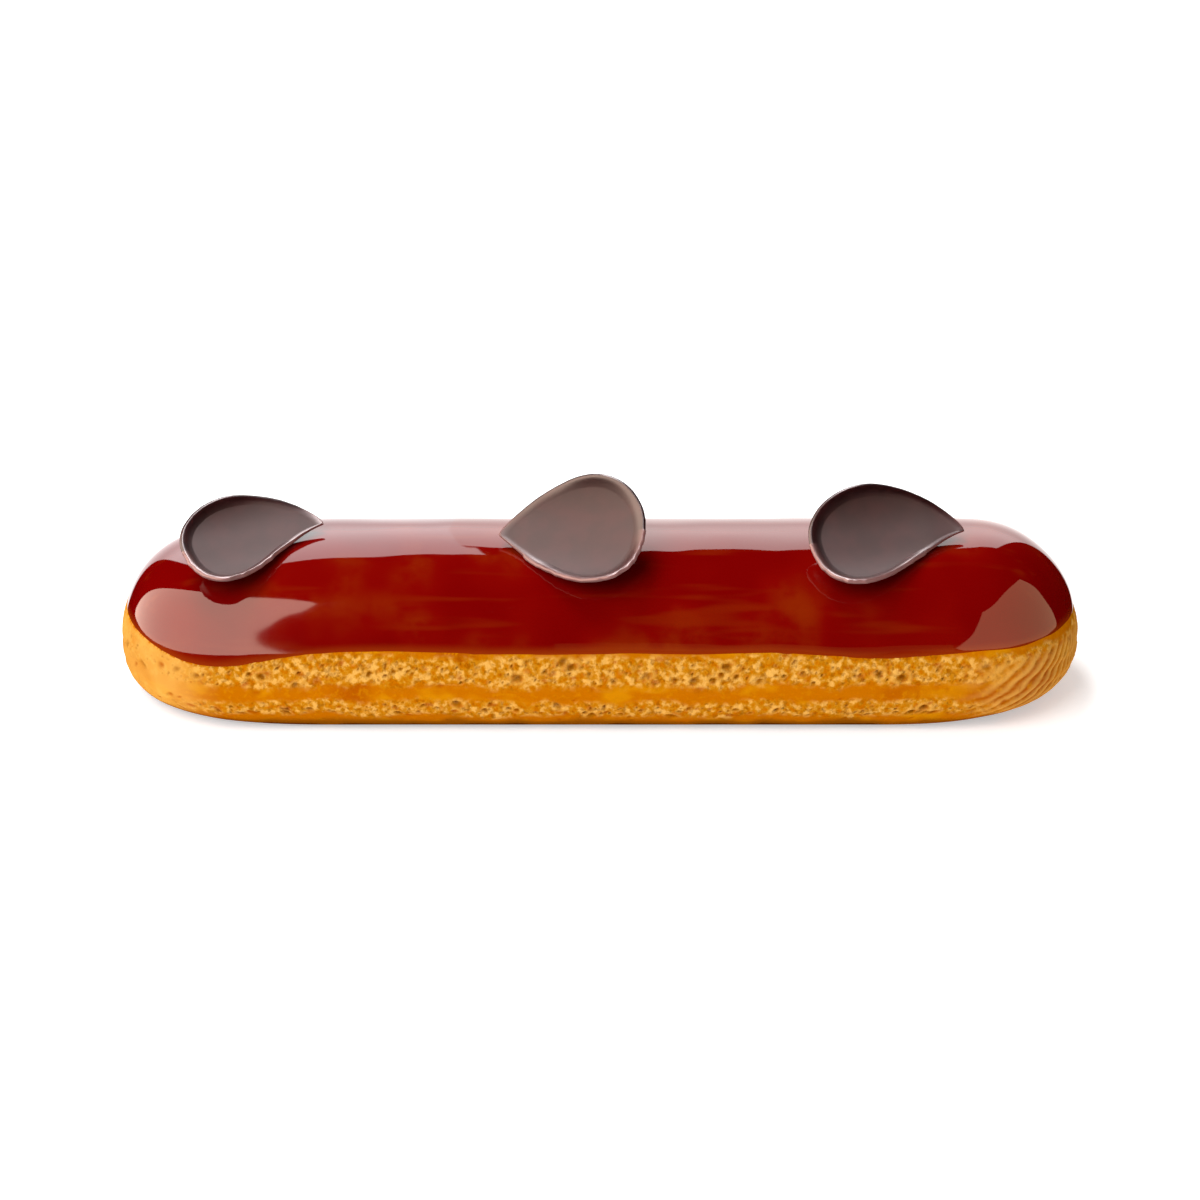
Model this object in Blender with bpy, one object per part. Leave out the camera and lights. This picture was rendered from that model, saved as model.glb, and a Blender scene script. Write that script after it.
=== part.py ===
"""Chocolate eclair: a baked choux bun under a poured coat of chocolate icing, with
three curled chocolate petals lying along its top.

Metres, +Z up. The origin is the middle of the footprint, on the surface the eclair
lies on. +X runs along the eclair and the petals lean towards -Y.
"""

import math

import bmesh
import bpy
import numpy as np
from mathutils import Matrix, Vector

MM = 0.001

# The whole bun with its icing, which share one rounded hull.
LENGTH = 141.0 * MM
WIDTH = 36.0 * MM
ICED_HEIGHT = 24.3 * MM
BELLY_HEIGHT = 7.5 * MM
END_REACH = 16.0 * MM
CROWN_POWER = 2.1

# The crest sinks towards the left end, from the first place along X to the second. A
# point sinks by this power of how near it is to the crest.
END_DROOP = 2.3 * MM
DROOP_RUN = (-38.0 * MM, -64.0 * MM)
DROOP_POWER = 4.0

# The flat face the bun was baked on. Its two ends lift off the surface unequally.
BASE_WIDTH = 26.4 * MM
BASE_SPINE = 38.5 * MM
BASE_REACH_LEFT = 27.4 * MM
BASE_REACH_RIGHT = 21.2 * MM

# Baked crust: slow swellings along the side and two shallow seams between its bands.
SWELL_DEPTH = 0.22 * MM
SWELL_COUNTS = (4, 7, 11)
SEAM_HEIGHTS = (8.6 * MM, 5.4 * MM)
SEAM_DEPTH = 0.22 * MM
SEAM_WIDTH = 0.6 * MM

# Icing: its edge runs round the side of the bun at an uneven height.
ICING_THICKNESS = 1.8 * MM
LIP_RADIUS = 0.8 * MM
LIP_TAPER = 3.0 * MM
EDGE_HEIGHT = 12.9 * MM
EDGE_RIPPLE = 0.22 * MM
EDGE_RIPPLE_COUNTS = (6, 11)
SAG_WIDTH = 8.0 * MM
SAGS = (
    # place along X, side of the bun, drop below the mean edge
    (-57.0 * MM, -1, 2.2 * MM),
    (38.0 * MM, -1, 0.8 * MM),
    (60.0 * MM, -1, -0.6 * MM),
    (-30.0 * MM, 1, 1.1 * MM),
    (22.0 * MM, 1, 0.7 * MM),
)
CLEARANCE = 0.3 * MM
LEDGE_DROP = 0.4 * MM
LEDGE_RISE = 0.02 * MM
LEDGE_INSET = 0.25 * MM

# Petals: teardrop sheets of chocolate cupped like the bowl of a spoon.
PETAL_THICKNESS = 0.8 * MM
PETAL_CUP_POWER = 2.7
PETAL_TIP_ROUNDING = 0.2
PETALS = {
    # name: length, width, fullness of the front and back sides (a larger number is
    # slimmer near the tip), cup across, cup along, centre, heading, lean, tip lift
    "petal_left": (21.5, 14.45, 2.73, 0.32, 1.5, 0.6, (-50.16, -4.5, 25.2), 26.0, 27.0, 1.0),
    "petal_middle": (21.35, 17.4, 1.33, 0.72, 2.1, 0.9, (-3.96, -5.35, 26.35), 173.5, 36.0, -8.0),
    "petal_right": (23.25, 15.75, 2.26, 0.41, 2.1, 0.4, (41.5, -5.33, 25.87), 14.4, 36.0, -2.0),
}

# Mesh fineness.
SIDE_COLUMNS = 20
END_COLUMNS = 20
BASE_ROWS = 10
WALL_ROWS = 6
CROWN_ROWS = 10
LIP_ROWS = 4
PETAL_COLUMNS = 28
PETAL_ROWS = 5
SMOOTH_ANGLE = math.radians(50)

CRUST_COLOUR = (0.62, 0.25, 0.03)
ICING_COLOUR = (0.19, 0.012, 0.004)
PETAL_COLOUR = (0.05, 0.014, 0.012)


def clear_scene():
    """Removes every object of the scene."""
    for thing in list(bpy.data.objects):
        bpy.data.objects.remove(thing, do_unlink=True)


def finish(name, colour, roughness):
    """Makes a plain finish in one colour."""
    material = bpy.data.materials.new(name)
    material.use_nodes = True
    shader = material.node_tree.nodes["Principled BSDF"]
    shader.inputs["Base Color"].default_value = (*colour, 1.0)
    shader.inputs["Roughness"].default_value = roughness
    shader.inputs["Metallic"].default_value = 0.0
    return material


def columns():
    """Lays out the columns of every ring, counter-clockwise seen from above.

    Returns:
        Four arrays: how far each column stands from the left spine end (0) to the
        right one (1), its reach into an end (-1 to 1), its side (-1 front, 1 back)
        and the fraction of the way round.
    """
    run = (np.arange(SIDE_COLUMNS) + 0.5) / SIDE_COLUMNS
    turn = np.linspace(0.0, math.pi, END_COLUMNS)
    still = np.zeros(SIDE_COLUMNS)
    along = np.concatenate([run, np.ones(END_COLUMNS), run[::-1], np.zeros(END_COLUMNS)])
    reach = np.concatenate([still, np.sin(turn), still, -np.sin(turn)])
    side = np.concatenate([still - 1, -np.cos(turn), still + 1, np.cos(turn)])
    count = len(along)
    return along, reach, side, np.arange(count) / count


ALONG, REACH, SIDE, ROUND = columns()


def ring(height, half_width, spine, reach_left, reach_right):
    """Places one ring of points: two straight sides joined by half-ellipse ends."""
    x = (2.0 * ALONG - 1.0) * spine + REACH * np.where(REACH < 0, reach_left, reach_right)
    y = SIDE * half_width
    return np.stack([x, y, np.broadcast_to(height, x.shape)], axis=-1)


def crown_ring(angle, inset):
    """Places a ring of the upper half of the hull, set in from it all over.

    Args:
        angle: 0 at the belly and pi/2 at the crest, for each column.
        inset: how far the ring lies inside the hull, for each column.
    """
    width = (WIDTH / 2 - inset) * np.cos(angle) ** (2 / CROWN_POWER)
    reach = (END_REACH - inset) * width / (WIDTH / 2 - inset)
    rise = np.sin(angle) ** (2 / CROWN_POWER)
    height = BELLY_HEIGHT + (ICED_HEIGHT - inset - BELLY_HEIGHT) * rise
    points = ring(height, width, LENGTH / 2 - END_REACH, reach, reach)
    start, end = DROOP_RUN
    run = np.clip((points[:, 0] - start) / (end - start), 0.0, 1.0)
    points[:, 2] -= END_DROOP * run**2 * (3 - 2 * run) * rise**DROOP_POWER
    return points


def crown_angle(height):
    """The crown angle at which the hull reaches a height."""
    share = (height - BELLY_HEIGHT) / (ICED_HEIGHT - BELLY_HEIGHT)
    return np.arcsin(np.clip(share, 0.0, 1.0) ** (CROWN_POWER / 2))


def waves(counts, phase):
    """A sum of sine waves round the bun, between about -1 and 1."""
    total = sum(np.sin(2 * math.pi * n * ROUND + phase * n) for n in counts)
    return total / len(counts)


def icing_edge():
    """The height of the icing's edge at each column: its mean, ripples and sags."""
    x = ring(0.0, WIDTH / 2, LENGTH / 2 - END_REACH, END_REACH, END_REACH)[:, 0]
    height = EDGE_HEIGHT + EDGE_RIPPLE * waves(EDGE_RIPPLE_COUNTS, 0.8)
    for place, side, drop in SAGS:
        facing = 0.5 + 0.5 * side * SIDE
        height = height - drop * facing * np.exp(-(((x - place) / SAG_WIDTH) ** 2))
    return height


EDGE = icing_edge()


def icing_inset(above_edge):
    """How deep the icing's inner face lies under the hull, by height above its edge."""
    grown = np.clip(above_edge / LIP_TAPER, 0.0, 1.0)
    return LIP_RADIUS + (ICING_THICKNESS - LIP_RADIUS) * (1 - (1 - grown) ** 2)


def crown_rows(start, inset_of):
    """Rings from a starting height to the crest, at even steps of the crown angle."""
    first = crown_angle(start)
    rows = []
    for step in range(CROWN_ROWS + 1):
        angle = first + (math.pi / 2 - first) * step / CROWN_ROWS
        rise = np.sin(angle) ** (2 / CROWN_POWER)
        height = BELLY_HEIGHT + (ICED_HEIGHT - BELLY_HEIGHT) * rise
        rows.append(crown_ring(angle, inset_of(height - EDGE)))
    return rows


def crust_relief(height, strength):
    """The baked side's swellings and seams, as a distance out of the hull."""
    seams = sum(np.exp(-(((height - seam) / SEAM_WIDTH) ** 2)) for seam in SEAM_HEIGHTS)
    swells = SWELL_DEPTH * waves(SWELL_COUNTS, 0.5)
    return strength * (swells - SWELL_DEPTH) - SEAM_DEPTH * seams * strength


def base_rows():
    """Rings from the flat base up to the belly, along a quarter ellipse."""
    rows = []
    for step in range(BASE_ROWS + 1):
        angle = math.pi / 2 * step / BASE_ROWS
        open_out = math.sin(angle)
        height = BELLY_HEIGHT * (1 - math.cos(angle))
        relief = crust_relief(height, min(1.0, height / SEAM_HEIGHTS[1]))
        half_width = BASE_WIDTH / 2 + (WIDTH - BASE_WIDTH) / 2 * open_out + relief
        spine = BASE_SPINE + (LENGTH / 2 - END_REACH - BASE_SPINE) * open_out
        left = BASE_REACH_LEFT + (END_REACH - BASE_REACH_LEFT) * open_out + relief
        right = BASE_REACH_RIGHT + (END_REACH - BASE_REACH_RIGHT) * open_out + relief
        rows.append(ring(height, half_width, spine, left, right))
    return rows


def wall_rows():
    """Rings from above the belly to the ledge under the icing's edge."""
    rows = []
    for step in range(1, WALL_ROWS + 1):
        share = step / WALL_ROWS
        height = BELLY_HEIGHT + (EDGE - LEDGE_DROP - BELLY_HEIGHT) * share
        relief = crust_relief(height, 1.0 - 0.5 * share)
        rows.append(crown_ring(crown_angle(height), LEDGE_INSET * share - relief))
    return rows


def under_icing(above_edge):
    """How deep the bun's top lies under the hull: the icing and a clearance."""
    return icing_inset(above_edge) + CLEARANCE


def lip_rows():
    """Rings round the icing's rounded lip, from its lowest line out to the hull."""
    rows = []
    for step in range(LIP_ROWS):
        angle = math.pi / 2 * step / LIP_ROWS
        inset = LIP_RADIUS * (1 - math.sin(angle))
        height = EDGE + LIP_RADIUS * (1 - math.cos(angle))
        rows.append(crown_ring(crown_angle(height), np.full_like(EDGE, inset)))
    return rows


def add_skin(mesh, rows, outward):
    """Adds rings to a mesh and the quads between them, all the way round.

    Args:
        mesh: the bmesh that receives them.
        rows: the rings, from the lowest up.
        outward: whether the faces look away from the bun's middle.

    Returns:
        The vertices of the first ring.
    """
    rings = [[mesh.verts.new(point) for point in row] for row in rows]
    count = len(rings[0])
    for low, high in zip(rings, rings[1:]):
        for here in range(count):
            there = (here + 1) % count
            corners = [low[here], low[there], high[there], high[here]]
            mesh.faces.new(corners if outward else corners[::-1])
    return rings[0]


def make_object(name, mesh, material):
    """Turns a bmesh into a named object with its finish, closing crests and seams."""
    bmesh.ops.remove_doubles(mesh, verts=mesh.verts, dist=0.001 * MM)
    bmesh.ops.dissolve_degenerate(mesh, edges=mesh.edges, dist=0.001 * MM)
    data = bpy.data.meshes.new(name)
    mesh.to_mesh(data)
    mesh.free()
    data.materials.append(material)
    thing = bpy.data.objects.new(name, data)
    bpy.context.scene.collection.objects.link(thing)
    data.shade_smooth()
    data.set_sharp_from_angle(angle=SMOOTH_ANGLE)
    return thing


def choux_bun(material):
    """The baked bun: flat base, swelling side, ledge and the crown under the icing."""
    ledge = EDGE - LEDGE_DROP + LEDGE_RISE
    ledge_inset = np.full_like(EDGE, LIP_RADIUS + CLEARANCE)
    rows = base_rows() + wall_rows()
    rows.append(crown_ring(crown_angle(ledge), ledge_inset))
    rows += crown_rows(EDGE, under_icing)
    mesh = bmesh.new()
    base = add_skin(mesh, rows, outward=True)
    mesh.faces.new(base[::-1])
    return make_object("choux_bun", mesh, material)


def chocolate_icing(material):
    """The icing: an outer skin on the hull, an inner skin and a rounded lip."""
    outer = lip_rows() + crown_rows(EDGE + LIP_RADIUS, np.zeros_like)
    inner = crown_rows(EDGE, icing_inset)
    mesh = bmesh.new()
    add_skin(mesh, outer, outward=True)
    add_skin(mesh, inner, outward=False)
    return make_object("chocolate_icing", mesh, material)


def petal_bulge(turn, fullness):
    """How far a petal's outline stands off its long axis, at most 1.

    It is sin(t) * s^fullness, where s is sin(t/2) rounded off near the tip at t = 0.
    """
    rounded = np.hypot(np.sin(turn / 2), PETAL_TIP_ROUNDING)
    bulge = np.sin(turn) * rounded**fullness
    return bulge / np.abs(bulge).max()


def petal_sheet(length, width, left_fullness, right_fullness, cup_across, cup_along):
    """A teardrop sheet in its own frame, tip towards +X and cup open towards +Z.

    The outline is x = cos(t) and y = petal_bulge(t). The sheet rises by
    cup_along x^2 + cup_across |y|^PETAL_CUP_POWER.
    """
    turn = 2 * math.pi * np.arange(PETAL_COLUMNS) / PETAL_COLUMNS
    left, right = petal_bulge(turn, left_fullness), petal_bulge(turn, right_fullness)
    bulge = np.where(np.sin(turn) > 0, left, right)
    mesh = bmesh.new()
    middle = mesh.verts.new((0.0, 0.0, 0.0))
    rings = []
    for row in range(1, PETAL_ROWS + 1):
        share = row / PETAL_ROWS
        x = share * np.cos(turn)
        y = share * bulge
        z = cup_along * x**2 + cup_across * np.abs(y) ** PETAL_CUP_POWER
        points = zip(x * length / 2, y * width / 2, z)
        rings.append([mesh.verts.new(point) for point in points])
    for here in range(PETAL_COLUMNS):
        there = (here + 1) % PETAL_COLUMNS
        mesh.faces.new((middle, rings[0][here], rings[0][there]))
        for low, high in zip(rings, rings[1:]):
            mesh.faces.new((low[here], high[here], high[there], low[there]))
    return mesh


def petal(name, sizes, material):
    """One petal, thickened below its sheet and laid on the icing's shoulder."""
    length, width, front, back, cup_across, cup_along, centre, heading, lean, lift = sizes
    # A petal whose tip heads left has its far side on the sheet's -Y, so it leans the
    # other way about its own long axis.
    facing = math.copysign(1.0, math.cos(math.radians(heading)))
    left, right = (back, front) if facing > 0 else (front, back)
    mesh = petal_sheet(length * MM, width * MM, left, right, cup_across * MM, cup_along * MM)
    turned = Matrix.Rotation(math.radians(heading), 4, "Z")
    leaned = Matrix.Rotation(facing * math.radians(lean), 4, "X")
    lifted = Matrix.Rotation(math.radians(-lift), 4, "Y")
    placed = Matrix.Translation(Vector(centre) * MM)
    mesh.transform(placed @ turned @ leaned @ lifted)
    thing = make_object(name, mesh, material)
    wall = thing.modifiers.new("wall", "SOLIDIFY")
    wall.thickness = PETAL_THICKNESS
    wall.offset = -1.0
    wall.use_even_offset = True
    return thing


def main():
    """Builds the eclair's five pieces."""
    clear_scene()
    crust = finish("choux", CRUST_COLOUR, 0.75)
    glaze = finish("icing", ICING_COLOUR, 0.1)
    chocolate = finish("chocolate", PETAL_COLOUR, 0.3)
    choux_bun(crust)
    chocolate_icing(glaze)
    for name, sizes in PETALS.items():
        petal(name, sizes, chocolate)


main()
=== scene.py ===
"""Chocolate eclair: a porous baked bun, mirror-smooth icing and three chocolate petals.

Every surface is a function of two parameters worked out on a grid with numpy. The
fixed frame gives the places; metres, +Z up, +X along the eclair.
"""

import logging
import math
from collections.abc import Callable
from dataclasses import dataclass, field
from enum import Enum

import bmesh
import bpy
import numpy as np
from mathutils import Matrix, Vector


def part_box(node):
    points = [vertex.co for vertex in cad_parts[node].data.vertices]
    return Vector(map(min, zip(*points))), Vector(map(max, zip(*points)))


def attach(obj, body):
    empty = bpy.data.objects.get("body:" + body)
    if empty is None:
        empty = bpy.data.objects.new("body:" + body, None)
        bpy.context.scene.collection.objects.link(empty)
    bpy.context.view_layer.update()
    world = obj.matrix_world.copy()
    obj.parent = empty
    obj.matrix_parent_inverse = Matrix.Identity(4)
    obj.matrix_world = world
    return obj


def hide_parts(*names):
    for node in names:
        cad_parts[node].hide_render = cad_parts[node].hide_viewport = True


Array = np.ndarray
Colour = tuple[float, float, float]
Socket = bpy.types.NodeSocket

MM = 0.001
BODY = "root"

WHITE = (1.0, 1.0, 1.0)
BLACK = (0.0, 0.0, 0.0)
LATTICE_SHIFT = 1000.0
NO_LENGTH = 1e-16
WALL_SAMPLES = 200

LOG = logging.getLogger("eclair")

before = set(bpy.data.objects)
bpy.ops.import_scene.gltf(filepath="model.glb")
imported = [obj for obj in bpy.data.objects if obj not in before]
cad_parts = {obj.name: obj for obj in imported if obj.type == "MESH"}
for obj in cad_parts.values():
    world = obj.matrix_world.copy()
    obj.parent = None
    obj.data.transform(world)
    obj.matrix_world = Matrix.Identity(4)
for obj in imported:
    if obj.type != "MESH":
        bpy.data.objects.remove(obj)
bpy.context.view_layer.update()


# ---------------------------------------------------------------- number helpers


def ease(low: float, high: float, value: Array) -> Array:
    """Rises smoothly from 0 at low to 1 at high, as 3t^2 - 2t^3.

    Args:
        low: where the rise starts; it may be above high, for a fall.
        high: where the rise ends.
        value: the numbers to ease.

    Returns:
        The eased share of each number.
    """
    share = np.clip((value - low) / (high - low), 0.0, 1.0)
    return share * share * (3.0 - 2.0 * share)


def hump(centre: float, width: float, value: Array) -> Array:
    """A bell of height 1 round a centre, exp(-((value - centre) / width)^2)."""
    return np.exp(-(((value - centre) / width) ** 2))


@dataclass(frozen=True)
class Grain:
    """Smooth random relief: seeded values on a lattice, eased between its corners.

    Attributes:
        cell: the lattice's pitch along X, Y and Z.
        seed: which draw of values it uses.
    """

    cell: tuple[float, float, float]
    seed: int

    def at(self, points: Array) -> Array:
        """Reads the relief at points.

        Each value is the blend of the eight lattice corners round the point, with
        weights 3t^2 - 2t^3 along each axis.

        Args:
            points: places, with the last axis holding X, Y and Z.

        Returns:
            A number from -1 to 1 for each point.
        """
        scaled = points / np.array(self.cell) + LATTICE_SHIFT
        corner = np.floor(scaled).astype(int)
        part = scaled - corner
        part = part * part * (3.0 - 2.0 * part)
        corner -= corner.reshape(-1, 3).min(axis=0)
        size = corner.reshape(-1, 3).max(axis=0) + 2
        table = np.random.default_rng(self.seed).uniform(-1.0, 1.0, size)
        total = np.zeros(points.shape[:-1])
        for step in np.ndindex(2, 2, 2):
            weight = np.prod(np.where(np.array(step) == 1, part, 1.0 - part), axis=-1)
            i, j, k = (corner + np.array(step)).transpose(-1, *range(corner.ndim - 1))
            total += weight * table[i, j, k]
        return total


def even_grain(cell: float, seed: int) -> Grain:
    """A grain with the same pitch along every axis."""
    return Grain((cell, cell, cell), seed)


@dataclass(frozen=True)
class Pits:
    """Oval pits scattered over a surface, one at most in each cell of a jittered grid.

    Attributes:
        pitch: the cells' side.
        small: the smallest radius.
        large: the largest radius.
        seed: which draw of places, sizes and presences it uses.
        flatness: how much wider than tall a pit is.
        bend: how far the outlines are pushed about, in cells.
    """

    pitch: float
    small: float
    large: float
    seed: int
    flatness: float = 1.25
    bend: float = 0.22

    def at(self, s: Array, t: Array, crowd: Callable[[Array, Array], Array]) -> tuple[Array, Array]:
        """Works out how deep in a pit, and how near to a pit's rim, each point lies.

        A pit is present where its random number is under the crowd at its centre. Its
        depth is (1 - (d/r)^2)^2 inside radius r, and its rim a bell round d = r.

        Args:
            s: distance round the bun.
            t: height on the bun.
            crowd: the chance of a pit at a place, from 0 to 1.

        Returns:
            The depth share and the rim share of each point.
        """
        place = np.stack([s, t, np.zeros(s.shape)], axis=-1)
        s = s + self.bend * self.pitch * (1.0 + even_grain(0.8 * self.pitch, self.seed + 1).at(place))
        t = t + self.bend * self.pitch * (1.0 + even_grain(0.8 * self.pitch, self.seed + 2).at(place))
        i, j = np.floor(s / self.pitch).astype(int), np.floor(t / self.pitch).astype(int)
        draws = np.random.default_rng(self.seed).uniform(size=(i.max() + 4, j.max() + 4, 4))
        depth, rim = np.zeros(s.shape), np.zeros(s.shape)
        for across, up in np.ndindex(3, 3):
            ci, cj = i + across, j + up
            pull_s, pull_t, chance, size = np.moveaxis(draws[ci, cj], -1, 0)
            at_s = (ci - 1 + pull_s) * self.pitch
            at_t = (cj - 1 + pull_t) * self.pitch
            radius = self.small + (self.large - self.small) * size**2
            far = np.hypot(s - at_s, self.flatness * (t - at_t)) / radius
            present = chance < crowd(at_s, at_t)
            depth = np.maximum(depth, present * np.clip(1.0 - far**2, 0.0, 1.0) ** 2)
            rim = np.maximum(rim, present * hump(1.15, 0.35, far))
        return depth, rim


# ---------------------------------------------------------------- mesh helpers


@dataclass
class Sheet:
    """A grid of points that closes on itself round its columns.

    Attributes:
        points: rows by columns by 3.
        values: named numbers for each point, kept as mesh attributes.
    """

    points: Array
    values: dict[str, Array] = field(default_factory=dict)

    def normals(self) -> Array:
        """The unit normals, from the differences between neighbours on the grid."""
        around = np.roll(self.points, -1, axis=1) - np.roll(self.points, 1, axis=1)
        upward = np.gradient(self.points, axis=0)
        facing = np.cross(around, upward)
        length = np.linalg.norm(facing, axis=-1, keepdims=True)
        flat = np.array([0.0, 0.0, 1.0])
        return np.where(length > NO_LENGTH, facing / np.maximum(length, NO_LENGTH), flat)

    def pushed(self, distance: Array) -> "Sheet":
        """The same sheet with each point moved along its normal."""
        moved = self.points + distance[..., None] * self.normals()
        return Sheet(moved, self.values)


def quads(rows: int, columns: int, start: int = 0) -> Array:
    """Corner numbers of the quads of a grid that wraps round its columns."""
    here = np.arange(rows * columns).reshape(rows, columns) + start
    there = np.roll(here, -1, axis=1)
    corners = [here[:-1], there[:-1], there[1:], here[1:]]
    return np.stack(corners, axis=-1).reshape(-1, 4)


def build_piece(name: str, sheets: list[Sheet], weld: float = 0.002 * MM) -> bpy.types.Object:
    """Makes one closed object from sheets whose borders coincide.

    Args:
        name: the object's name.
        sheets: the sheets, each wrapping round its columns.
        weld: how near two points have to be to become one.

    Returns:
        The object, smooth shaded, with its faces pointing out.
    """
    points = np.concatenate([sheet.points.reshape(-1, 3) for sheet in sheets])
    faces, start = [], 0
    for sheet in sheets:
        rows, columns = sheet.points.shape[:2]
        faces.append(quads(rows, columns, start))
        start += rows * columns
    mesh = bpy.data.meshes.new(name)
    mesh.from_pydata(points, [], np.concatenate(faces))
    for label in sheets[0].values:
        numbers = np.concatenate([sheet.values[label].ravel() for sheet in sheets])
        layer = mesh.attributes.new(label, "FLOAT", "POINT")
        layer.data.foreach_set("value", numbers.astype(np.float32))
    work = bmesh.new()
    work.from_mesh(mesh)
    bmesh.ops.remove_doubles(work, verts=work.verts, dist=weld)
    bmesh.ops.recalc_face_normals(work, faces=work.faces)
    if work.calc_volume(signed=True) < 0:
        bmesh.ops.reverse_faces(work, faces=work.faces)
    work.to_mesh(mesh)
    work.free()
    mesh.shade_smooth()
    piece = bpy.data.objects.new(name, mesh)
    bpy.context.scene.collection.objects.link(piece)
    return piece


# ---------------------------------------------------------------- node helpers


class NodeKit:
    """Short methods for adding nodes to a shader tree."""

    def __init__(self, tree: bpy.types.NodeTree) -> None:
        """Keeps the tree that the nodes go into."""
        self.tree = tree

    def link(self, source: Socket, target: Socket) -> None:
        """Joins an output to an input."""
        self.tree.links.new(source, target)

    def feed(self, target: Socket, value: "Socket | float | Colour") -> None:
        """Gives an input a link, a number or a colour."""
        if isinstance(value, bpy.types.NodeSocket):
            self.link(value, target)
        elif isinstance(value, tuple):
            target.default_value = (*value, 1.0)
        else:
            target.default_value = value

    def math(self, operation: str, first: "Socket | float", second: "Socket | float" = 0.0) -> Socket:
        """One arithmetic step."""
        node = self.tree.nodes.new("ShaderNodeMath")
        node.operation = operation
        self.feed(node.inputs[0], first)
        self.feed(node.inputs[1], second)
        return node.outputs[0]

    def times(self, *factors: "Socket | float") -> Socket:
        """The product of two or more values."""
        product = factors[0]
        for factor in factors[1:]:
            product = self.math("MULTIPLY", product, factor)
        return product

    def span(self, value: Socket, low: float, high: float) -> Socket:
        """Maps low to 0 and high to 1, smoothly, and clamps."""
        node = self.tree.nodes.new("ShaderNodeMapRange")
        node.interpolation_type = "SMOOTHSTEP"
        self.link(value, node.inputs["Value"])
        node.inputs["From Min"].default_value = low
        node.inputs["From Max"].default_value = high
        return node.outputs["Result"]

    def mix(self, share: "Socket | float", first: "Socket | Colour", second: "Socket | Colour") -> Socket:
        """Blends two colours."""
        node = self.tree.nodes.new("ShaderNodeMix")
        node.data_type = "RGBA"
        self.feed(node.inputs["Factor"], share)
        self.feed([i for i in node.inputs if i.name == "A" and i.type == "RGBA"][0], first)
        self.feed([i for i in node.inputs if i.name == "B" and i.type == "RGBA"][0], second)
        return [o for o in node.outputs if o.type == "RGBA"][0]


class Recipe(NodeKit):
    """A material under construction, with short methods for the textures it needs."""

    def __init__(self, name: str) -> None:
        """Starts the material with its Principled shader and object coordinates."""
        self.material = bpy.data.materials.new(name)
        self.material.use_nodes = True
        super().__init__(self.material.node_tree)
        self.shader = self.tree.nodes["Principled BSDF"]
        self.place = self.tree.nodes.new("ShaderNodeTexCoord").outputs["Object"]

    def stretched(self, scale: tuple[float, float, float]) -> Socket:
        """Object coordinates stretched along each axis."""
        mapping = self.tree.nodes.new("ShaderNodeMapping")
        mapping.inputs["Scale"].default_value = scale
        self.link(self.place, mapping.inputs["Vector"])
        return mapping.outputs["Vector"]

    def noise(self, size: float, detail: float = 2.0, place: Socket | None = None) -> Socket:
        """Noise whose features are about this size, in metres.

        Args:
            size: the feature size.
            detail: how many finer octaves it adds.
            place: the coordinates, or None for the object's own.

        Returns:
            The noise's value, from 0 to 1.
        """
        node = self.tree.nodes.new("ShaderNodeTexNoise")
        node.inputs["Scale"].default_value = 1.0 / size
        node.inputs["Detail"].default_value = detail
        self.link(place or self.place, node.inputs["Vector"])
        return node.outputs["Fac"]

    def value(self, label: str) -> Socket:
        """A number kept on the mesh."""
        node = self.tree.nodes.new("ShaderNodeAttribute")
        node.attribute_name = label
        return node.outputs["Fac"]

    def bump(self, height: Socket, distance: float) -> None:
        """Gives the shader a bump of a real height, in metres."""
        node = self.tree.nodes.new("ShaderNodeBump")
        node.inputs["Distance"].default_value = distance
        self.link(height, node.inputs["Height"])
        self.link(node.outputs["Normal"], self.shader.inputs["Normal"])

    def set(self, label: str, value: "Socket | float | Colour") -> None:
        """Sets one of the shader's inputs."""
        self.feed(self.shader.inputs[label], value)


# ---------------------------------------------------------------- finishes


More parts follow.
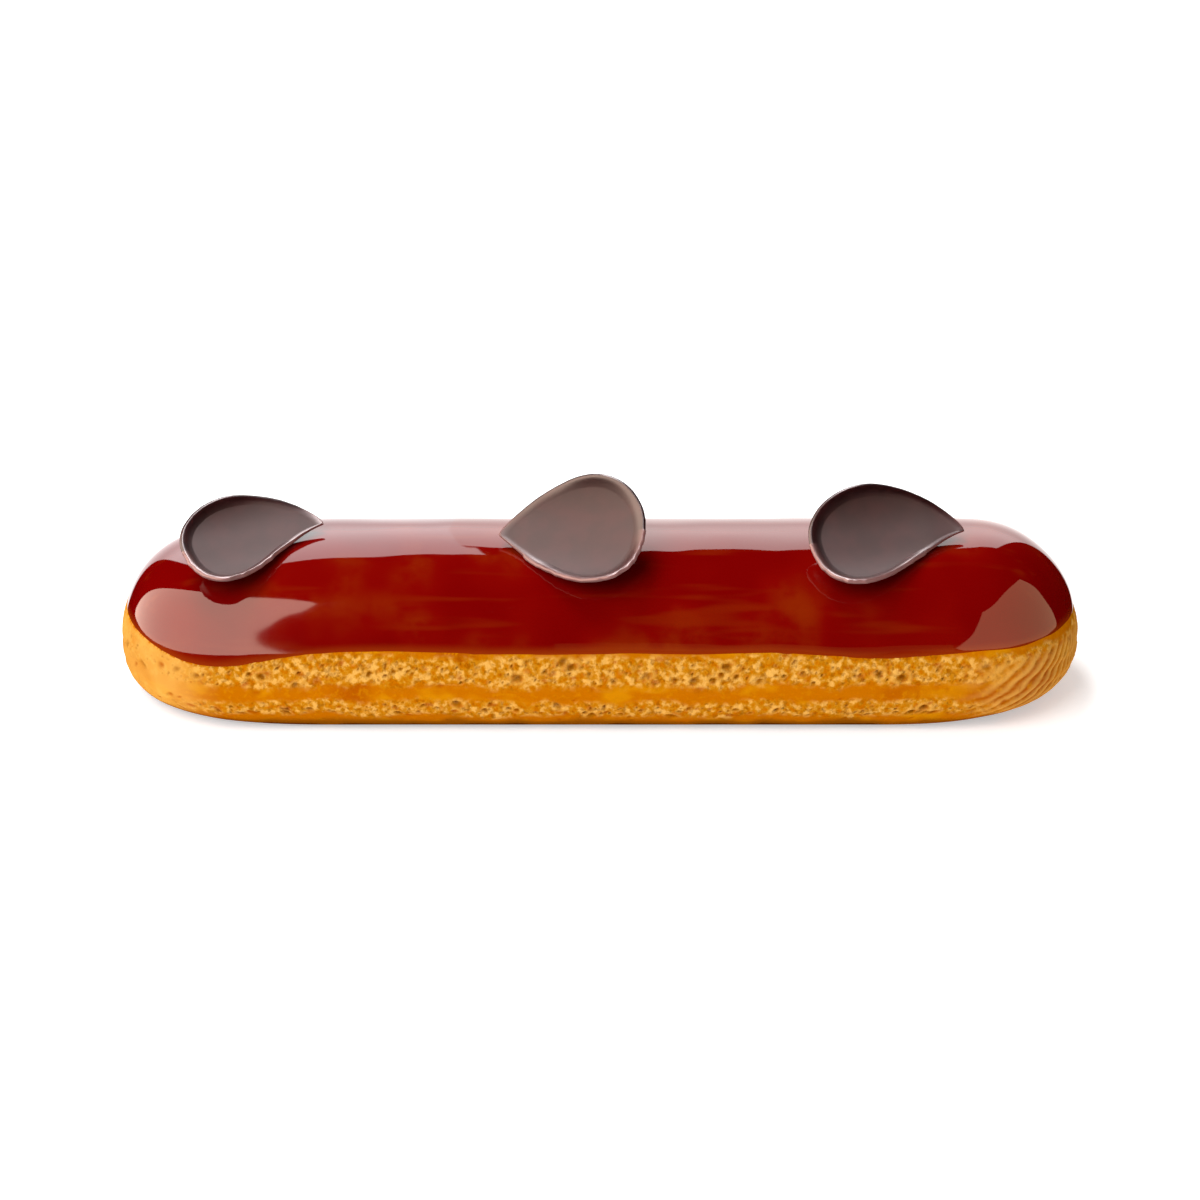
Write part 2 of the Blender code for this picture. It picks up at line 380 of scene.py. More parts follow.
@dataclass(frozen=True)
class CrustFinish:
    """Baked choux: smooth orange skin, torn cream bands full of pits, a brown foot.

    The mesh brings the numbers torn, tan, pit, rim, blister and foot, and one for painted light.
    Painted shade darkens the pits, painted highlights lighten the pits' rims, the left end
    and the flute crests, and a painted contact shadow darkens the very bottom.
    """

    skin: Colour = (0.450, 0.122, 0.0001)
    gold: Colour = (0.530, 0.190, 0.0010)
    deep: Colour = (0.340, 0.062, 0.0001)
    crumb: Colour = (0.480, 0.178, 0.0040)
    cream: Colour = (0.690, 0.350, 0.0700)
    # painted shade: the colour that darkens the pits and the fine pores
    pit_shade: Colour = (0.180, 0.047, 0.0002)
    foot: Colour = (0.230, 0.065, 0.0010)
    # painted contact shadow where the bun meets the floor
    contact_shade: Colour = (0.085, 0.018, 0.0006)
    roughness: float = 0.62

    def make(self) -> bpy.types.Material:
        """Mixes the colours by the mesh's numbers and by fine noise."""
        mixer = Recipe("choux_crust")
        fine = mixer.noise(0.8 * MM, 3.0)
        broad = mixer.noise(4.5 * MM, 2.0, mixer.stretched((0.6, 0.6, 1.0)))
        strand = mixer.noise(1.1 * MM, 3.0)
        torn, tan, foot = mixer.value("torn"), mixer.value("tan"), mixer.value("foot")

        skin = mixer.mix(mixer.span(broad, 0.52, 0.66), self.skin, self.gold)
        skin = mixer.mix(mixer.times(mixer.span(tan, 0.45, 1.0), 0.9), skin, self.deep)
        skin = mixer.mix(mixer.times(mixer.span(fine, 0.50, 0.72), 0.5), skin, self.gold)
        crumb = mixer.mix(mixer.span(strand, 0.36, 0.48), self.skin, self.crumb)
        crumb = mixer.mix(mixer.span(strand, 0.47, 0.64), crumb, self.cream)
        # painted shade in the fine pores of the crumb
        crumb = mixer.mix(mixer.times(mixer.span(fine, 0.46, 0.36), 0.45), crumb, self.pit_shade)
        colour = mixer.mix(torn, skin, crumb)
        # painted highlight on the pits' rims
        colour = mixer.mix(mixer.times(mixer.value("rim"), 0.5), colour, self.cream)
        # painted light: the left end lightened as if lit from the left, and painted highlights on the
        # flute crests
        colour = mixer.mix(mixer.times(mixer.value("painted_light"), 0.7), colour, self.cream)
        colour = mixer.mix(mixer.times(mixer.value("blister"), 0.8), colour, self.deep)
        # painted shade deep in the pits
        colour = mixer.mix(mixer.times(mixer.value("pit"), 0.95), colour, self.pit_shade)
        colour = mixer.mix(mixer.span(foot, 0.0, 0.7), colour, self.foot)
        # painted contact shadow along the very bottom, over the brown foot
        colour = mixer.mix(mixer.span(foot, 0.75, 1.0), colour, self.contact_shade)
        mixer.set("Base Color", colour)

        mixer.set("Roughness", self.roughness)
        mixer.set("Specular IOR Level", 0.0)
        mixer.bump(mixer.times(fine, mixer.math("ADD", torn, 0.25)), 0.30 * MM)
        return mixer.material


@dataclass(frozen=True)
class IcingFinish:
    """Poured chocolate icing: deep red-brown, mirror-smooth, mottled and thin at its edge.

    The mesh brings the number thin, which rises to 1 at the icing's edge.
    """

    deep: Colour = (0.142, 0.0003, 0.0003)
    body: Colour = (0.163, 0.0010, 0.0004)
    warm: Colour = (0.195, 0.0130, 0.0006)
    thin: Colour = (0.240, 0.0260, 0.0020)
    roughness: float = 0.035

    def make(self) -> bpy.types.Material:
        """Blends broad patches with faint streaks along the eclair."""
        mixer = Recipe("icing_gloss")
        patch = mixer.noise(16.0 * MM, 2.0)
        cloud = mixer.noise(4.5 * MM, 3.0)
        streak = mixer.noise(3.0 * MM, 2.0, mixer.stretched((0.12, 1.0, 1.0)))
        colour = mixer.mix(mixer.span(patch, 0.36, 0.55), self.deep, self.body)
        warm = mixer.times(mixer.span(patch, 0.48, 0.66), mixer.span(cloud, 0.35, 0.65))
        colour = mixer.mix(warm, colour, self.warm)
        colour = mixer.mix(mixer.times(mixer.span(streak, 0.56, 0.72), 0.5), colour, self.warm)
        colour = mixer.mix(mixer.value("thin"), colour, self.thin)
        mixer.set("Base Color", colour)
        mixer.set("Roughness", self.roughness)
        return mixer.material


@dataclass(frozen=True)
class PetalFinish:
    """Tempered dark chocolate: satin, with a faint bloom and a paler broken edge that is a painted
    highlight.

    The mesh brings the numbers edge, 1 round the petal's rim, and under, 1 below it.
    """

    body: Colour = (0.014, 0.0008, 0.0008)
    bloom: Colour = (0.024, 0.0030, 0.0030)
    # painted highlight: the pale colour of the rim
    edge: Colour = (0.260, 0.1150, 0.1050)
    roughness: float = 0.32
    under_roughness: float = 0.7
    gloss: float = 0.8

    def make(self) -> bpy.types.Material:
        """Blends the chocolate with a cloudy bloom and lightens its rim with a painted highlight."""
        mixer = Recipe("petal_chocolate")
        bloom = mixer.noise(3.0 * MM, 2.0)
        colour = mixer.mix(mixer.span(bloom, 0.35, 0.7), self.body, self.bloom)
        # painted highlight along the rim
        colour = mixer.mix(mixer.value("edge"), colour, self.edge)
        mixer.set("Base Color", colour)
        dull = mixer.math("MULTIPLY_ADD", mixer.value("under"), self.under_roughness - self.roughness)
        dull.node.inputs[2].default_value = self.roughness
        mixer.set("Roughness", dull)
        mixer.set("Specular IOR Level", self.gloss)
        mixer.bump(mixer.noise(1.6 * MM, 2.0), 0.015 * MM)
        return mixer.material


# ---------------------------------------------------------------- the shared hull


@dataclass(frozen=True)
class Columns:
    """The columns of every ring round the eclair, evenly spaced at its belly.

    Attributes:
        along: 0 at the left end of the straight side and 1 at its right end.
        reach: how far into an end, from -1 at the left tip to 1 at the right tip.
        side: -1 on the front and 1 on the back.
        walk: the distance walked round the belly.
    """

    along: Array
    reach: Array
    side: Array
    walk: Array


@dataclass(frozen=True)
class Hull:
    """The rounded form shared by the bun and its icing.

    Its rings are two straight sides joined by half ellipses. Above the belly they
    follow a superellipse up to the crest, and below it a quarter ellipse to the base.
    The crest sinks towards the left end.
    """

    length: float
    width: float
    crest: float
    belly: float = 7.5 * MM
    end_reach: float = 16.0 * MM
    power: float = 2.1
    base_width: float = 26.4 * MM
    base_spine: float = 38.5 * MM
    base_reach_left: float = 27.4 * MM
    base_reach_right: float = 21.2 * MM
    softening: float = 14.0 * MM
    droop: float = 2.3 * MM
    droop_run: tuple[float, float] = (-38.0 * MM, -64.0 * MM)
    droop_power: float = 4.0

    @property
    def spine(self) -> float:
        """Half the length of the straight stretch."""
        return self.length / 2 - self.end_reach

    def columns(self, pitch: float) -> Columns:
        """Lays out columns about a pitch apart, counter-clockwise seen from above."""
        arc = math.pi * math.hypot(self.end_reach, self.width / 2) / math.sqrt(2.0)
        sides = round(2 * self.spine / pitch)
        ends = round(arc / pitch)
        run = (np.arange(sides) + 0.5) / sides
        turn = (np.arange(ends) + 0.5) / ends * math.pi
        still = np.zeros(sides)
        along = np.concatenate([run, np.ones(ends), run[::-1], np.zeros(ends)])
        reach = np.concatenate([still, np.sin(turn), still, -np.sin(turn)])
        side = np.concatenate([still - 1, -np.cos(turn), still + 1, np.cos(turn)])
        around = 4 * self.spine + 2 * arc
        walk = np.arange(len(along)) / len(along) * around
        return Columns(along, reach, side, walk)

    def ring(
        self, columns: Columns, height: Array, width: Array, spine: Array, left: Array, right: Array
    ) -> Array:
        """Places rings: x = (2 along - 1) spine + reach * end, and y = side * width."""
        end = np.where(columns.reach < 0, left, right)
        x = (2.0 * columns.along - 1.0) * spine + columns.reach * end
        y = columns.side * width
        return np.stack(np.broadcast_arrays(x, y, height), axis=-1)

    def lower(self, columns: Columns, angle: Array) -> Array:
        """Rings below the belly, with angle 0 at the base and pi/2 at the belly."""
        opened = np.sin(angle)
        height = self.belly * (1.0 - np.cos(angle))
        width = self.base_width / 2 + (self.width - self.base_width) / 2 * opened
        spine = self.base_spine + (self.spine - self.base_spine) * opened
        left = self.base_reach_left + (self.end_reach - self.base_reach_left) * opened
        right = self.base_reach_right + (self.end_reach - self.base_reach_right) * opened
        return self.ring(columns, height, width, spine, left, right)

    def upper(self, columns: Columns, angle: Array, inset: Array) -> Array:
        """Rings above the belly, angle pi/2 at the crest, set in from the hull."""
        narrowed = np.cos(angle) ** (2 / self.power)
        width = (self.width / 2 - inset) * narrowed
        reach = (self.end_reach - inset) * narrowed
        rise = np.sin(angle) ** (2 / self.power)
        height = self.belly + (self.crest - inset - self.belly) * rise
        points = self.ring(columns, height, width, self.spine, reach, reach)
        sunk = self.droop * ease(*self.droop_run, points[..., 0]) * rise**self.droop_power
        points[..., 2] -= sunk
        return points

    def angle_at(self, height: Array) -> Array:
        """The upper angle at which the hull reaches a height."""
        share = np.clip((height - self.belly) / (self.crest - self.belly), 0.0, 1.0)
        return np.arcsin(share ** (self.power / 2))

    def softened(self, points: Array, pitch: float) -> Array:
        """Averages rings over a short walk, so that sides run into ends with no kink."""
        reach = max(1, round(self.softening / 2 / pitch))
        shifts = range(-reach, reach + 1)
        weights = [1.0 + math.cos(math.pi * shift / (reach + 1)) for shift in shifts]
        total = sum(w * np.roll(points, shift, axis=1) for w, shift in zip(weights, shifts))
        return total / sum(weights)


@dataclass(frozen=True)
class Sag:
    """A place where the icing ran lower, or stopped higher, than its mean edge.

    Attributes:
        place: where it is along X.
        side: -1 on the front and 1 on the back.
        drop: how far it reaches below the mean edge.
    """

    place: float
    side: int
    drop: float
    width: float = 8.0 * MM


@dataclass(frozen=True)
class IcingEdge:
    """The uneven line round the bun where the icing stops."""

    mean: float = 12.9 * MM
    ripple: float = 0.22 * MM
    ripple_counts: tuple[int, ...] = (6, 11)
    fray: float = 0.30 * MM
    sags: tuple[Sag, ...] = (
        Sag(-57.0 * MM, -1, 2.2 * MM),
        Sag(38.0 * MM, -1, 0.8 * MM),
        Sag(60.0 * MM, -1, -0.1 * MM),
        Sag(-30.0 * MM, 1, 1.1 * MM),
        Sag(22.0 * MM, 1, 0.7 * MM),
    )

    def height(self, hull: Hull, columns: Columns) -> Array:
        """The edge's height at each column: mean, slow ripples, sags and a fine fray."""
        share = columns.walk / columns.walk[-1]
        waves = [np.sin(2 * math.pi * n * share + 0.8 * n) for n in self.ripple_counts]
        height = self.mean + self.ripple * sum(waves) / len(waves)
        x = (2.0 * columns.along - 1.0) * hull.spine + columns.reach * hull.end_reach
        y = columns.side * hull.width / 2
        for sag in self.sags:
            facing = 0.5 + 0.5 * sag.side * columns.side
            height = height - sag.drop * facing * hump(sag.place, sag.width, x)
        ring = np.stack([x, y, np.zeros_like(x)], axis=-1)
        rough = 0.6 * even_grain(5.0 * MM, 31).at(ring) + 0.4 * even_grain(1.4 * MM, 32).at(ring)
        return height + self.fray * rough


# ---------------------------------------------------------------- sub-assemblies


@dataclass
class ChouxBun:
    """The baked bun, from its flat base up to the crown hidden under the icing."""

    hull: Hull
    edge: IcingEdge
    pitch: float = 0.262 * MM
    wall_rows: int = 64
    base_rows: int = 5
    crown_rows: int = 6
    swell: float = 0.20 * MM
    lump: float = 0.10 * MM
    tear: float = 0.13 * MM
    pit_depth: float = 0.50 * MM
    blister_depth: float = 0.12 * MM
    flute_depth: float = 0.24 * MM
    flute_pitch: float = 2.1 * MM
    flute_bend: float = 17.0 * MM
    tuck: float = 0.35 * MM
    under: float = 1.2 * MM
    torn_bands: tuple[tuple[float, float], ...] = ((10.5 * MM, 2.35 * MM), (4.5 * MM, 1.3 * MM))
    foot_height: float = 3.4 * MM

    def torn(self, points: Array) -> Array:
        """How torn and porous the crust is: two wavering bands, less at the ends."""
        x, z = points[..., 0], points[..., 2]
        waver = 0.7 * MM * even_grain(8.0 * MM, 1).at(points)
        waver = waver + 0.6 * MM * even_grain(2.6 * MM, 2).at(points)
        total = np.zeros(x.shape)
        for middle, half in self.torn_bands:
            total += ease(half + 0.45 * MM, half - 0.65 * MM, np.abs(z + waver - middle))
        return np.clip(total, 0.0, 1.0)

    def flutes(self, points: Array, walk: Array) -> tuple[Array, Array]:
        """Piping lines that sweep up round the right end.

        They are ridges of cos^2 along the height minus u^2 / (2 bend), with u the walk
        from where the end starts.

        Args:
            points: the bun's points.
            walk: the distance walked round, for each column.

        Returns:
            The ridges' height share, and where on the bun they are.
        """
        x, z = points[..., 0], points[..., 2]
        mask = ease(50.0 * MM, 60.0 * MM, x) * ease(1.6 * MM, 3.4 * MM, z)
        mask = mask * ease(12.8 * MM, 10.8 * MM, z)
        waver = 1.0 * MM * even_grain(6.0 * MM, 5).at(points)
        waver = waver + 0.3 * MM * even_grain(2.0 * MM, 14).at(points)
        past = walk - 2.0 * self.hull.spine + 6.0 * MM
        phase = (z + waver - past * np.abs(past) / (2.0 * self.flute_bend)) / self.flute_pitch
        return np.cos(math.pi * phase) ** 2, mask

    def wall(self, columns: Columns) -> Array:
        """Rings of the visible crust, from the base's rim to the icing, crowded where torn."""
        edge = self.edge.height(self.hull, columns) + self.tuck
        low = self.hull.lower(columns, np.linspace(0.0, math.pi / 2, WALL_SAMPLES)[:, None])
        rise = np.linspace(0.0, 1.0, WALL_SAMPLES)[1:, None]
        top = self.hull.angle_at(self.hull.belly + (edge - self.hull.belly) * rise)
        high = self.hull.upper(columns, top, 0.0)
        fine = np.concatenate([low, high])
        step = np.linalg.norm(np.diff(fine[:, 0], axis=0), axis=-1)
        z = (fine[1:, 0, 2] + fine[:-1, 0, 2]) / 2
        bands = self.torn_bands
        crowd = sum(ease(half + 0.8 * MM, half - 0.2 * MM, np.abs(z - mid)) for mid, half in bands)
        measure = np.concatenate([[0.0], np.cumsum(step * (0.55 + crowd))])
        wanted = np.linspace(0.0, measure[-1], self.wall_rows)
        place = np.interp(wanted, measure, np.arange(len(measure)))
        whole = np.minimum(place.astype(int), len(fine) - 2)
        part = (place - whole)[:, None, None]
        return fine[whole] * (1.0 - part) + fine[whole + 1] * part

    def dressed(self, wall: Array, columns: Columns) -> Sheet:
        """Gives the wall its relief and the numbers its finish reads."""
        walk = np.broadcast_to(columns.walk, wall.shape[:2])
        x, z = wall[..., 0], wall[..., 2]
        ridge, fluted = self.flutes(wall, walk)
        left = ease(-54.0 * MM, -62.0 * MM, x)
        torn = self.torn(wall) * (1.0 - 0.8 * fluted) * (1.0 - 0.55 * left)

        def crowd(s: Array, t: Array) -> Array:
            """The chance of a pit, by height on the bun."""
            bands = self.torn_bands
            return 0.55 * sum(ease(half, 0.4 * half, np.abs(t - mid)) for mid, half in bands)

        def sparse(s: Array, t: Array) -> Array:
            """The chance of a blister, which is greatest in the lower band."""
            return 0.25 + 0.4 * hump(4.4 * MM, 1.6 * MM, t)

        pit, rim = Pits(2.3 * MM, 0.40 * MM, 1.05 * MM, 7).at(walk, z, crowd)
        small, small_rim = Pits(1.2 * MM, 0.22 * MM, 0.50 * MM, 18).at(walk, z, crowd)
        pit, rim = np.maximum(pit, 0.7 * small), np.maximum(rim, 0.7 * small_rim)
        blister, _ = Pits(2.6 * MM, 0.5 * MM, 1.2 * MM, 12, 2.0).at(walk, z, sparse)
        pit, rim = pit * (0.15 + 0.85 * torn), rim * torn

        lift = ease(0.0, 2.5 * MM, z)
        relief = lift * self.swell * even_grain(17.0 * MM, 3).at(wall)
        relief += lift * self.lump * even_grain(4.2 * MM, 4).at(wall)
        strands = Grain((0.9 * MM, 0.9 * MM, 2.0 * MM), 6).at(wall)
        relief += self.tear * torn * (strands + 0.4 * rim)
        relief -= self.pit_depth * pit + self.blister_depth * blister
        relief += self.flute_depth * fluted * (ridge - 0.5)
        relief -= 0.25 * MM * hump(8.2 * MM, 0.7 * MM, z) + 0.2 * MM * hump(5.9 * MM, 0.6 * MM, z)
        low = even_grain(3.0 * MM, 9).at(wall)
        foot = ease(self.foot_height, 0.4 * MM, z + 0.6 * MM * low)
        tan = np.clip(0.35 + 0.9 * even_grain(7.0 * MM, 10).at(wall) + 0.3 * fluted, 0.0, 1.0)
        fade = ease(1.0, 0.9, np.arange(len(wall)) / (len(wall) - 1))[:, None]
        values = {"torn": torn, "tan": tan, "pit": pit, "rim": rim, "foot": foot}
        # painted light: the left end lightened as if lit from the left, and painted highlights on the
        # flute crests
        cloud = 0.75 + 0.35 * even_grain(2.2 * MM, 15).at(wall)
        painted_light = np.clip(fluted * ridge + left * cloud, 0.0, 1.0)
        values |= {"painted_light": painted_light, "blister": blister}
        return Sheet(wall, values).pushed(relief * (0.3 + 0.7 * fade))

    def plain(self, points: Array, foot: float) -> Sheet:
        """A sheet with the finish's numbers all at rest, apart from the foot's."""
        still = np.zeros(points.shape[:2])
        labels = ("torn", "tan", "pit", "rim", "painted_light", "blister")
        return Sheet(points, {label: still for label in labels} | {"foot": still + foot})

    def build(self, finish: CrustFinish) -> bpy.types.Object:
        """Builds the bun as one closed piece.

        Args:
            finish: the crust's finish.

        Returns:
            The bun.
        """
        columns = self.hull.columns(self.pitch)
        wall = self.hull.softened(self.wall(columns), self.pitch)
        crust = self.dressed(wall, columns)
        rim = crust.points[0]
        inward = np.linspace(0.0, 1.0, self.base_rows)[:, None, None]
        middle = rim * np.array([1.0, 0.0, 1.0]) * np.array([0.7, 1.0, 1.0])
        base = middle + (rim - middle) * inward
        top = crust.points[-1]
        rise = np.linspace(0.0, 1.0, self.crown_rows)[:, None]
        edge = self.edge.height(self.hull, columns) + self.tuck
        start = self.hull.angle_at(edge)
        depth = self.under * ease(0.0, 0.35, rise)
        crown = self.hull.upper(columns, start + (math.pi / 2 - start) * rise, depth)
        crown = self.hull.softened(crown, self.pitch)
        crown[0] = top
        sheets = [self.plain(base, 1.0), crust, self.plain(crown, 0.0)]
        piece = build_piece("bun", sheets)
        piece.data.materials.append(finish.make())
        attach(piece, BODY)
        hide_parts("choux_bun")
        return piece


@dataclass
class Icing:
    """The poured icing: a smooth outer skin, a rounded lip and an inner skin."""

    hull: Hull
    edge: IcingEdge
    pitch: float = 0.42 * MM
    lip_rows: int = 7
    outer_rows: int = 64
    inner_rows: int = 8
    thickness: float = 1.1 * MM
    lip: float = 0.45 * MM
    wave: float = 0.26 * MM
    dimple: float = 0.030 * MM

    def undulation(self, points: Array) -> Array:
        """How far the poured surface stands off the hull: waves, fainter at the left end."""
        long = Grain((22.0 * MM, 11.0 * MM, 11.0 * MM), 41).at(points)
        middle = Grain((9.0 * MM, 6.0 * MM, 6.0 * MM), 42).at(points)
        fine = even_grain(3.6 * MM, 43).at(points)
        even = 1.0 - 0.92 * ease(-27.0 * MM, -40.0 * MM, points[..., 0])
        return even * (self.wave * (long + 0.35 * middle) + self.dimple * fine)

    def build(self, finish: IcingFinish) -> bpy.types.Object:
        """Builds the icing as one closed piece.

        Args:
            finish: the icing's finish.

        Returns:
            The icing.
        """
        columns = self.hull.columns(self.pitch)
        edge = self.edge.height(self.hull, columns)
        turn = np.linspace(0.0, math.pi / 2, self.lip_rows)[:, None]
        lip_inset = self.lip * (1.0 - np.sin(turn))
        lip_height = edge + self.lip * (1.0 - np.cos(turn))
        lip = self.hull.upper(columns, self.hull.angle_at(lip_height), lip_inset)
        start = self.hull.angle_at(edge + self.lip)
        rise = np.linspace(0.0, 1.0, self.outer_rows)[1:, None]
        angle = start + (math.pi / 2 - start) * rise
        outer = np.concatenate([lip, self.hull.upper(columns, angle, 0.0)])
        outer = self.hull.softened(outer, self.pitch)
        skin = Sheet(outer)
        steps = np.arange(len(outer))[:, None]
        grown = ease(0.0, 14.0, steps)
        skin = skin.pushed(self.undulation(outer) * grown)
        above = skin.points[..., 2] - skin.points[0, :, 2]
        skin.values["thin"] = ease(1.9 * MM, 0.2 * MM, above)

        first = self.hull.angle_at(edge)
        rise = np.linspace(0.0, 1.0, self.inner_rows)[:, None]
        depth = self.lip + (self.thickness - self.lip) * ease(0.0, 0.4, rise)
        inner = self.hull.upper(columns, first + (math.pi / 2 - first) * rise, depth)
        inner = self.hull.softened(inner, self.pitch)
        inner[0] = skin.points[0]
        inside = Sheet(inner[::-1], {"thin": np.zeros(inner.shape[:2])})
        piece = build_piece("icing", [inside, skin])
        piece.data.materials.append(finish.make())
        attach(piece, BODY)
        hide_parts("chocolate_icing")
        return piece


class PetalPlace(Enum):
    """The three petals, by the node each stands for."""

    LEFT = "petal_left"
    MIDDLE = "petal_middle"
    RIGHT = "petal_right"


@dataclass
class Petal:
    """A teardrop of chocolate, cupped like a spoon's bowl, with a raised lip.

    Attributes:
        place: which petal it is.
        length: from the round end to the tip.
        width: across the widest part.
        fullness: for the front and the back side, a larger number is slimmer near the tip.
        cup_across: how far the long edges rise above the middle.
        cup_along: how far the tip rises.
        lip: how far the lip round the blunt end and the near side rises on top of that.
        heading: where the tip points, in degrees from +X.
        lean: how far it leans towards the front, in degrees.
        lift: how far the tip is raised, in degrees.
        breaks: where the thin flash along the near side ends, from -1 to 1 at the tip.
        seed: which draw its grain uses.
    """

    place: PetalPlace
    length: float
    width: float
    fullness: tuple[float, float]
    cup_across: float
    cup_along: float
    lip: float
    heading: float
    lean: float
    lift: float
    breaks: tuple[float, ...]
    seed: int
    cup_power: float = 2.7
    tip_rounding: float = 0.2
    lip_start: float = 0.86
    flash: float = 0.30 * MM
    thickness: float = 0.75 * MM
    plain_thickness: float = 0.8 * MM
    columns: int = 360
    rows: int = 60
    rim_rows: int = 9

    @property
    def facing(self) -> float:
        """1 if the petal's own +X points right and -1 if it points left."""
        return math.copysign(1.0, math.cos(math.radians(self.heading)))

    def near(self, turn: Array) -> Array:
        """True on the side of the outline that is nearer to the front."""
        return np.sin(turn) * self.facing < 0.0

    def outline(self, turn: Array) -> tuple[Array, Array]:
        """The teardrop: x = cos t, y = sin t * s^fullness, with s = sin(t/2) rounded off."""
        rounded = np.hypot(np.sin(turn / 2), self.tip_rounding)
        sides = [np.sin(turn) * rounded**fullness for fullness in self.fullness]
        front, back = (side / np.abs(side).max() for side in sides)
        return np.cos(turn), np.where(self.near(turn), front, back)

    def face(self, share: Array, turn: Array, lip: float) -> Array:
        """The cup's inner face.

        It rises by cup_along x^2 + cup_across |y|^cup_power, and by a lip that climbs
        steeply over the last stretch outwards, round the blunt end and the near side.

        Args:
            share: the way out from the middle, 0 to 1.
            turn: the angle round the outline.
            lip: the lip's height.

        Returns:
            The points, in the petal's own frame.
        """
        x, y = self.outline(turn)
        curled = np.where(self.near(turn), ease(0.55, 0.15, x), ease(0.35, -0.3, x))
        climb = lip * (0.15 + 0.85 * curled) * ease(self.lip_start, 1.0, share)
        x, y = share * x, share * y
        rise = self.cup_along * x**2 + self.cup_across * np.abs(y) ** self.cup_power + climb
        return np.stack([x * self.length / 2, y * self.width / 2, rise], axis=-1)

    def spin(self) -> Array:
        """The rotation that leans, lifts and turns the petal."""
        turn = Matrix.Rotation(math.radians(self.heading), 3, "Z")
        lean = Matrix.Rotation(self.facing * math.radians(self.lean), 3, "X")
        lift = Matrix.Rotation(math.radians(-self.lift), 3, "Y")
        return np.array(turn @ lean @ lift)

    def centre(self, share: Array, turn: Array) -> Array:
        """Where the petal's own origin goes, found from its node's box.

        The node is the plain sheet with no lip, so the sheet's box and the node's share
        their middle.
        """
        inner = self.face(share, turn, 0.0)
        outer = inner - self.plain_thickness * Sheet(inner).normals()
        placed = (np.concatenate([inner, outer]) @ self.spin().T).reshape(-1, 3)
        low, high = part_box(self.place.value)
        return np.array((low + high) / 2) - (placed.min(axis=0) + placed.max(axis=0)) / 2

    def build(self, finish: bpy.types.Material) -> bpy.types.Object:
        """Builds the petal as a closed shell: inner face, rounded rim, outer face.

        Args:
            finish: the chocolate, shared by the petals.

        Returns:
            The petal.
        """
        turn = np.arange(self.columns) / self.columns * 2 * math.pi
        share = np.linspace(0.0, 1.0, self.rows)[:, None] ** 0.7
        inner = self.face(share, turn, self.lip)
        upward = Sheet(inner).normals()
        upward[0] = upward[1].mean(axis=0) / np.linalg.norm(upward[1].mean(axis=0))
        pointed = ease(0.5, 1.0, np.cos(turn) * share)
        thick = (self.thickness * (1.0 - 0.45 * pointed))[..., None]
        outer = inner - thick * upward
        outer[0] = outer[0].mean(axis=0)

        radial = inner[-1] - inner[-2]
        radial /= np.linalg.norm(radial, axis=-1, keepdims=True)
        ends = [ease(end + 0.025, end - 0.025, np.cos(turn)) for end in self.breaks]
        ragged = 0.5 * Grain((0.8 * MM,) * 3, self.seed + 10).at(inner[-1])
        reach = self.flash * np.where(self.near(turn), sum(ends) / len(ends), 0.0)
        reach = reach * (1.0 + ragged) + 0.06 * MM * ragged
        bend = np.linspace(0.0, math.pi, self.rim_rows + 2)[1:-1, None, None]
        middle = (inner[-1] + outer[-1]) / 2
        bulge = np.where(self.near(turn), 0.25, 0.55)[:, None] * thick[-1]
        swell = (bulge + reach[:, None]) * np.sin(bend)
        rim = middle + thick[-1] / 2 * np.cos(bend) * upward[-1] + swell * radial

        shell = np.concatenate([inner, rim, outer[::-1]])
        row = np.arange(len(shell))
        # painted highlight on the rim, on the near side and at the tip
        edge = hump(self.rows + self.rim_rows / 2, self.rim_rows * 0.5, row)[:, None]
        painted_light = np.maximum(self.near(turn), ease(0.75, 0.95, np.cos(turn)))
        edge = edge * painted_light * (0.8 + 0.2 * even_grain(1.6 * MM, self.seed).at(shell))
        under = ease(self.rows + self.rim_rows, self.rows + 2.0 * self.rim_rows, row)[:, None]
        shell = shell @ self.spin().T + self.centre(share, turn)
        values = {"edge": np.clip(edge, 0.0, 1.0), "under": np.broadcast_to(under, edge.shape)}
        name = self.place.value.replace("petal", "leaf")
        piece = build_piece(name, [Sheet(shell, values)])
        piece.data.materials.append(finish)
        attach(piece, BODY)
        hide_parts(self.place.value)
        return piece


# ---------------------------------------------------------------- studio


def toward(azimuth: float, elevation: float) -> Vector:
    """The unit direction of a compass bearing, 0 at the front and 90 at the right."""
    around, up = math.radians(azimuth), math.radians(elevation)
    return Vector((math.sin(around) * math.cos(up), -math.cos(around) * math.cos(up), math.sin(up)))


def only_for(light: bpy.types.Object, pieces: list[bpy.types.Object]) -> None:
    """Lets a lamp or a card shine on these pieces and no others."""
    takers = bpy.data.collections.new(f"{light.name} takers")
    for piece in pieces:
        takers.objects.link(piece)
    light.light_linking.receiver_collection = takers


